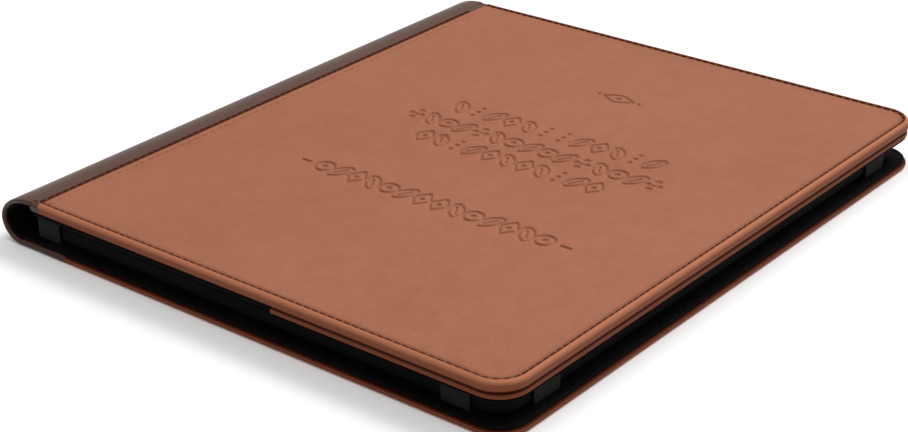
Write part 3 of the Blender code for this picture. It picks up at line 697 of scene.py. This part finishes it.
cover_node(metal("stamped_steel", (0.62, 0.62, 0.64, 1), (0.48, 0.48, 0.50, 1), 0.34),
           "mid_frame", "usb_port", "power_switch", "shield_can_1", "shield_can_2", "shield_can_3",
           "page_switch_lower", "page_switch_upper", "sleep_magnet", "board_screw_1", "board_screw_2",
           "board_screw_3", "board_screw_4")
cover_node(metal("pouch_foil", (0.42, 0.43, 0.45, 1), (0.30, 0.31, 0.33, 1), 0.42), "battery")

mask_green, mask_shader, mask_place = finish("solder_mask", roughness=0.38, Coat_Weight=0.4)
tracks = mask_place.node("ShaderNodeTexBrick", {},
                         {"Vector": mask_place, "Scale": 260.0, "Mortar Size": 0.05})
drive(mask_shader, "Base Color", tracks.mixed((0.004, 0.050, 0.022, 1), (0.010, 0.090, 0.040, 1)))
bumped(mask_shader, tracks, 0.00003, 0.5)
cover_node(mask_green, "main_board", "page_key_board")

amber_film, amber_shader, amber_place = finish("amber_film", roughness=0.30, Coat_Weight=0.3)
film_lines = amber_place.node("ShaderNodeTexWave", {"bands_direction": "X"},
                              {"Vector": amber_place, "Scale": 350.0})
drive(amber_shader, "Base Color", film_lines.mixed((0.20, 0.080, 0.010, 1), (0.36, 0.170, 0.030, 1)))
cover_node(amber_film, "display_flex", "battery_lead", "antenna", "light_strip")

paper_white, paper_shader, paper_place = finish("paper_like_panel", roughness=0.72, Specular_IOR_Level=0.3)
capsules = noise(paper_place, 5200.0, 2.0)
shading = noise(paper_place, 12.0, 2.0).between(0.3, 0.7)
drive(paper_shader, "Base Color", (capsules * 0.5 + shading * 0.5).mixed((0.50, 0.50, 0.475, 1),
                                                                       (0.60, 0.60, 0.570, 1)))
cover_node(paper_white, "epaper_panel")

clear_sheet, clear_shader, clear_place = finish("etched_clear_sheet", IOR=1.49, Specular_IOR_Level=0.5)
etch = noise(clear_place, 6000.0, 2.0)
drive(clear_shader, "Base Color", etch.mixed((0.70, 0.71, 0.70, 1), (0.80, 0.81, 0.80, 1)))
drive(clear_shader, "Roughness", etch * 0.12 + 0.26)
drive(clear_shader, "Alpha", etch * 0.04 + 0.10)
bumped(clear_shader, etch, 0.00002, 0.3)
cover_node(clear_sheet, "touch_lens", "light_guide")

# ---- Spine ---------------------------------------------------------------------------------------
# One width of dark brown faux leather wraps the spine from cover to cover, with black lining inside it. It is
# soft.

# Its last colour is the painted shade tint, used on the strip's ends.
brown_leather = faux_leather("brown_leather", (0.054, 0.0205, 0.0125, 1), (0.080, 0.0310, 0.0185, 1),
                             (0.106, 0.0430, 0.0270, 1), 0.42, (0.022, 0.0080, 0.0060, 1), 0.38,
                             end_y=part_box("front_spine_strip")[1].y - 0.0001)
spine_low, spine_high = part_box("spine_leather")
SPINE_WAIST = 0.0078
TOP_REACH = 0.0155
BASE_REACH = 0.0090
SPINE_STEPS = 20
SPINE_SKIN = 0.0009
SPINE_OVERRUN = 0.00032         # how far the brown leather runs past its bend, into the strips
LINING_DEPTH = 0.0018           # from the outer face to the lining
LINING_SKIN = 0.0006
HEM_LENGTH = 0.0090
HEM_STEP = 0.0015               # over which the sheet thickens to its hem


def spine_section(upper, depth, overrun):
    """The spine's section at a depth below its outer face: the upper or the lower quarter of its C."""
    reach = TOP_REACH if upper else BASE_REACH
    rise = (spine_high.z - SPINE_WAIST) if upper else (spine_low.z - SPINE_WAIST)
    inward = -depth if upper else depth
    section = []
    for step in range(SPINE_STEPS + 1):
        angle = math.pi / 2 * step / SPINE_STEPS
        section.append((spine_low.x + reach - (reach - depth) * math.cos(angle),
                        SPINE_WAIST + (rise + inward) * math.sin(angle)))
    end_x, end_z = section[-1]
    section.append((end_x + overrun, end_z))
    return section


def spine_half(name, upper, depth, thickness, hem, half_y, overrun, material, slot, *replaced):
    """Half of a spine sheet, which bends between the spine and its cover. Its ends are rounded, and hem
    thick where the sheet is turned in."""
    outer = spine_section(upper, depth, overrun)
    sheet = spine_section(upper, depth + thickness, overrun)
    turned = spine_section(upper, depth + hem, overrun)
    half_span = half_y - HEM_LENGTH - HEM_STEP
    rows = [(-half_span + 2 * half_span * index / 24, sheet, 0.0) for index in range(25)]
    for step in range(5):
        angle = math.pi / 2 * step / 4
        end = (half_y - hem / 2 * (1 - math.sin(angle)), turned, 0.5 - 0.5 * math.cos(angle))
        rows.append(end)
    rows.insert(25, (half_y - HEM_LENGTH, turned, 0.0))
    rows = [(-y, inner, pinch) for y, inner, pinch in reversed(rows[25:])] + rows
    rings = []
    for y, inner, pinch in rows:
        there = [Vector((x, y, z)) for x, z in outer]
        back = [Vector((x, y, z)) for x, z in inner]
        loop = [point.lerp(other, pinch) for point, other in zip(there, back)]
        loop += [other.lerp(point, pinch) for point, other in reversed(list(zip(there, back)))]
        rings.append(loop)
    count = len(rings[0])
    faces = [tuple(range(count)), tuple(range((len(rings) - 1) * count, len(rings) * count))[::-1]]
    for level in range(len(rings) - 1):
        for index in range(count):
            after = (index + 1) % count
            faces.append((level * count + index, (level + 1) * count + index,
                          (level + 1) * count + after, level * count + after))
    mesh = bpy.data.meshes.new(name)
    mesh.from_pydata([tuple(point) for ring in rings for point in ring], [], faces)
    outward_faces(mesh)
    mesh.shade_smooth()
    mesh.set_sharp_from_angle(angle=math.radians(60))
    half = bpy.data.objects.new(name, mesh)
    bpy.context.scene.collection.objects.link(half)
    half.data.materials.append(material)
    if upper:
        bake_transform(half)
    else:
        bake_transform(half)
    if replaced:
        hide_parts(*replaced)
    return half


lining_half_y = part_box("spine_lining")[1].y
for upper, label in ((True, "front"), (False, "back")):
    spine_half("spine_leather_" + label, upper, 0.0, SPINE_SKIN, HEM, spine_high.y, SPINE_OVERRUN,
               brown_leather, "brown_leather", "spine_leather")
    spine_half("spine_lining_" + label, upper, LINING_DEPTH, LINING_SKIN, LINING_SKIN, lining_half_y, 0.0,
               lining_cloth, "black_lining", "spine_lining")
cover_node(brown_leather, "front_spine_strip", "back_spine_strip")

# ---- Front cover ---------------------------------------------------------------------------------
# Tan faux leather over a board, with rows of blind-tooled ornament pressed into it and an open lozenge
# above them. Its edges are rolled and stitched in dark thread, and its spine side is stitched down over
# the brown leather.


def softly(distance, blur=0.00042):
    """1 inside a shape, 0 outside, and a smooth wall between, from the distance to its outline."""
    share = np.clip(0.5 - distance / blur, 0, 1)
    return share * share * (3 - 2 * share)


# The shapes that the tools are made of. Each gives the distance to its outline, which is below 0 inside.


def lozenge(u, v, half_u, half_v, line):
    inside = (np.abs(u) / half_u + np.abs(v) / half_v - 1) * half_u * half_v / math.hypot(half_u, half_v)
    return np.maximum.reduce([np.abs(inside) - line / 2, np.abs(u) - half_u, np.abs(v) - half_v])


def disc(u, v, radius):
    return np.hypot(u, v) - radius


def ring_line(u, v, radius, line):
    return np.abs(np.hypot(u, v) - radius) - line / 2


def bar(u, v, half_u, half_v):
    return np.maximum(np.abs(u) - half_u, np.abs(v) - half_v)


def leaf(u, v, half_length, half_width, line, lean):
    """A pointed leaf in outline with a midrib, leaning by an angle."""
    cosine, sine = math.cos(lean), math.sin(lean)
    along, across = u * sine + v * cosine, u * cosine - v * sine
    radius = (half_length ** 2 + half_width ** 2) / (2 * half_width)
    lens = np.hypot(along, np.abs(across) + radius - half_width) - radius
    rib = np.maximum(np.abs(across) - line * 0.35, np.abs(along) - half_length * 0.50)
    rim = np.maximum(np.abs(lens) - line / 2, np.abs(along) - 0.95 * half_length)
    return np.minimum(rim, rib)


TOOL_LINE = 0.00105


def tool_leaf_left(u, v):
    return leaf(u, v, 0.0053, 0.0024, TOOL_LINE, -0.50)


def tool_leaf_right(u, v):
    return leaf(u, v, 0.0053, 0.0024, TOOL_LINE, 0.50)


def tool_lozenge(u, v):
    return np.minimum(lozenge(u, v, 0.0034, 0.0048, TOOL_LINE), disc(u, v, 0.0009))


def tool_ring(u, v):
    return np.minimum(ring_line(u, v, 0.0033, TOOL_LINE), disc(u, v, 0.0011))


def tool_cross(u, v):
    petals = np.minimum.reduce([disc(u - 0.0022, v, 0.0012), disc(u + 0.0022, v, 0.0012),
                                disc(u, v - 0.0030, 0.0013), disc(u, v + 0.0030, 0.0013)])
    return np.minimum(petals, disc(u, v, 0.0006))


def tool_dots(u, v):
    return np.minimum.reduce([disc(u, v - 0.0034, 0.0009), disc(u, v, 0.0009), disc(u, v + 0.0034, 0.0009)])


ROWS_X = 0.0136
TOOL_DEPTH = 0.00058
# Each row: its Y, its width, and the tools that take turns from either end to the middle.
TOOLED_ROWS = (
    (0.0272, 0.0890, (tool_leaf_left, tool_dots, tool_leaf_right, tool_lozenge)),
    (0.0134, 0.1070, (tool_cross, tool_leaf_left, tool_ring, tool_leaf_right)),
    (0.0005, 0.0780, (tool_lozenge, tool_leaf_left, tool_dots, tool_leaf_right)),
    (-0.0392, 0.0980, (tool_ring, tool_leaf_right, tool_lozenge, tool_leaf_left)),
)
TOOL_PITCH = 0.0072
EMBLEM = (0.0128, 0.0664)       # the middle of the open lozenge
BAND = 0.0054                   # half the width of the band that a row may fill


def tooled(x, y):
    """How far each place is inside the pressed ornament, from 0 to 1."""
    nearest = np.full(len(x), 1.0)
    for middle_y, width, tools in TOOLED_ROWS:
        count = round(width / TOOL_PITCH)
        pitch = width / count
        in_row = np.abs(y - middle_y) < BAND
        for index in range(count):
            u = x[in_row] - (ROWS_X - width / 2 + (index + 0.5) * pitch)
            mirrored = index if index < count / 2 else count - 1 - index
            tool = tools[mirrored % len(tools)]
            side = 1 if index < count / 2 else -1
            nearest[in_row] = np.minimum(nearest[in_row], tool(u * side, y[in_row] - middle_y))
    last_y, last_width = TOOLED_ROWS[-1][:2]
    for side in (-1, 1):
        dash = bar(x - ROWS_X - side * (last_width / 2 + 0.0046), y - last_y, 0.0022, 0.0005)
        nearest = np.minimum(nearest, dash)
    u, v = x - EMBLEM[0], y - EMBLEM[1]
    emblem = np.minimum.reduce([lozenge(u, v, 0.0068, 0.0034, 0.0009), disc(u, v, 0.0010),
                                disc(u - 0.0086, v, 0.0008), disc(u + 0.0086, v, 0.0008)])
    return softly(np.minimum(nearest, emblem))


SEAM_RISE = 0.00016
SLACK = 0.00003
BEYOND, WITHIN = 0.00035, 0.00015       # where a pressed wall's shade starts and ends, about its outline


def front_relief(x, y, seam_x):
    """The front cover's relief: the ornament, the seam's raised band and its row of stitches, and slack in
    the leather. The ornament's far walls get painted shade and its near walls a painted highlight, and its
    floor is a little deeper in tone."""
    pressed = tooled(x, y)
    # Painted shade on the strokes' far walls and a painted highlight on their near walls.
    far_wall = np.clip(tooled(x, y - BEYOND) - tooled(x, y + WITHIN), 0, 1)
    near_wall = np.clip(tooled(x, y + BEYOND) - tooled(x, y - WITHIN), 0, 1)
    band = np.exp(-((x - seam_x - 0.0012) / 0.0011) ** 2)
    stitched_line = np.exp(-((x - seam_x - 0.0029) / 0.0004) ** 2)
    near_seam = band - 0.9 * stitched_line
    swell = SLACK * (np.sin(x * 83 + 1.7 * np.sin(y * 41)) + np.sin(y * 67 + 2.0 * np.sin(x * 53)))
    raised = SEAM_RISE * near_seam + swell - TOOL_DEPTH * pressed
    return raised, 0.1 * pressed + 3.0 * far_wall, 0.7 * near_wall


DENSE_HALF_X = 0.0570           # the finely meshed part of the face reaches past the longest row
EMBLEM_BAND = 0.0042
rows_low = sorted(middle - BAND for middle, width, tools in TOOLED_ROWS)
dense_rows = [(low, low + 2 * BAND) for low in rows_low]
dense_rows.append((EMBLEM[1] - EMBLEM_BAND, EMBLEM[1] + EMBLEM_BAND))
front_panel = leather_panel("front_cover_leather", "front_leather", SEAM_OVERLAP, True, COVER_CORNER,
                            dense_x=((ROWS_X - DENSE_HALF_X, ROWS_X + DENSE_HALF_X),), dense_y=dense_rows,
                            relief=front_relief)
dress(front_panel, tan_leather, "front_cover", "tan_leather", "front_leather")

SEAM_MARGIN = 0.0035            # how far from its ends the seam's stitches stop
front_low, front_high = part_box("front_leather")
strip_low, strip_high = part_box("front_spine_strip")
front_top = front_high.z
stitch_row("front_edge_stitches", edge_line("front_leather", strip_low.x + 0.001, GROOVE,
                                            front_top - GROOVE_DEPTH + THREAD_RISE),
           "front_cover", "tan_leather", dark_thread)
seam_ys = spaced(-front_high.y + SEAM_MARGIN, front_high.y - SEAM_MARGIN, 0.01)
tan_seam = [(front_low.x + 0.0027, y, front_top + 0.00004) for y in seam_ys]
stitch_row("seam_stitches_tan", tan_seam, "front_cover", "tan_leather", russet_thread,
           pitch=0.0036, length=0.0029, thickness=0.00034)
brown_seam = [(strip_high.x - 0.0007, y, strip_high.z + 0.00006) for y in seam_ys]
stitch_row("seam_stitches_brown", brown_seam, "front_cover", "brown_leather", dark_thread,
           pitch=0.0031, length=0.0022, thickness=0.00092)

dress(soft_sheet("front_cover_lining", "front_lining", 0.0, 0.00055), lining_cloth, "front_cover",
      "black_lining", "front_lining")

# ---- Easel flap ----------------------------------------------------------------------------------
# The outer part of the front cover's inner layer swings out as an easel. It is tan leather outside and black
# lining inside, stitched along its three free edges, and folds along its inner edge.

flap_low, flap_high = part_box("flap_leather")


def flap_shade(x, y, seam_x):
    """Painted shade on the flap's rolled edge, darkest along its upper side, under the cover."""
    past_x = np.maximum(x - (flap_high.x - COVER_CORNER), 0)
    past_y = np.maximum(np.abs(y) - (flap_high.y - COVER_CORNER), 0)
    inset = COVER_CORNER - np.hypot(past_x, past_y)
    return 0.0 * x, 14.0 * np.clip(1 - inset / 0.0011, 0, 1), 0.0 * x


flap_panel = leather_panel("flap_leather_panel", "flap_leather", 0.0, True, COVER_CORNER - 0.0003,
                           relief=flap_shade)
dress(flap_panel, tan_leather, "flap", "tan_leather", "flap_leather")
dress(soft_sheet("flap_lining_sheet", "flap_lining", COVER_CORNER - 0.0008, 0.00018), lining_cloth, "flap",
      "black_lining", "flap_lining")
stitch_row("flap_stitches", edge_line("flap_leather", flap_low.x + 0.002, GROOVE,
                                      flap_high.z - GROOVE_DEPTH + THREAD_RISE),
           "flap", "tan_leather", dark_thread)

# ---- Floor, light and camera ---------------------------------------------------------------------
# A pale table, a large soft light above and behind, a weaker one overhead, and the sky of a white studio.

floor_mesh = bpy.data.meshes.new("floor")
floor_half = 3.0
floor_z = -0.00005
floor_corners = [(x * floor_half, y * floor_half, floor_z) for x, y in ((-1, -1), (1, -1), (1, 1), (-1, 1))]
floor_mesh.from_pydata(floor_corners, [], [(0, 1, 2, 3)])
floor = bpy.data.objects.new("floor", floor_mesh)
bpy.context.scene.collection.objects.link(floor)
pale, pale_shader = finish("pale_table", roughness=0.75)[:2]
pale_shader.inputs["Base Color"].default_value = (0.96, 0.96, 0.96, 1)
floor.data.materials.append(pale)

world = bpy.data.worlds.new("studio")
bpy.context.scene.world = world
world.use_nodes = True
world.node_tree.nodes["Background"].inputs["Color"].default_value = (1, 1, 1, 1)
world.node_tree.nodes["Background"].inputs["Strength"].default_value = 0.54


def soft_light(name, place, target, size, power):
    lamp = bpy.data.lights.new(name, "AREA")
    lamp.shape = "RECTANGLE"
    lamp.size, lamp.size_y = size
    lamp.energy = power
    light = bpy.data.objects.new(name, lamp)
    light.location = place
    light.rotation_euler = (Vector(target) - Vector(place)).to_track_quat("-Z", "Y").to_euler()
    bpy.context.scene.collection.objects.link(light)


soft_light("key", (0.50, 1.05, 1.55), (0, 0, 0), (1.1, 0.8), 22.0)
soft_light("overhead", (-0.10, -0.30, 1.50), (0, 0, 0), (0.9, 0.7), 7.0)

camera_place = Vector((0.39139, -0.48392, 0.29534))
forward = Vector((-0.57354, 0.69334, -0.43627)).normalized()
roll = math.radians(-1.12)
upright = forward.to_track_quat("-Z", "Y").to_matrix()
camera_data = bpy.data.cameras.new("camera")
camera_data.sensor_width = 36.0
camera_data.lens = 80.40
camera_data.clip_start = 0.02
camera = bpy.data.objects.new("camera", camera_data)
camera.matrix_world = Matrix.Translation(camera_place) @ (upright @ Matrix.Rotation(roll, 3, "Z")).to_4x4()
bpy.context.scene.collection.objects.link(camera)
bpy.context.scene.camera = camera
bpy.context.scene.view_settings.view_transform = "Standard"
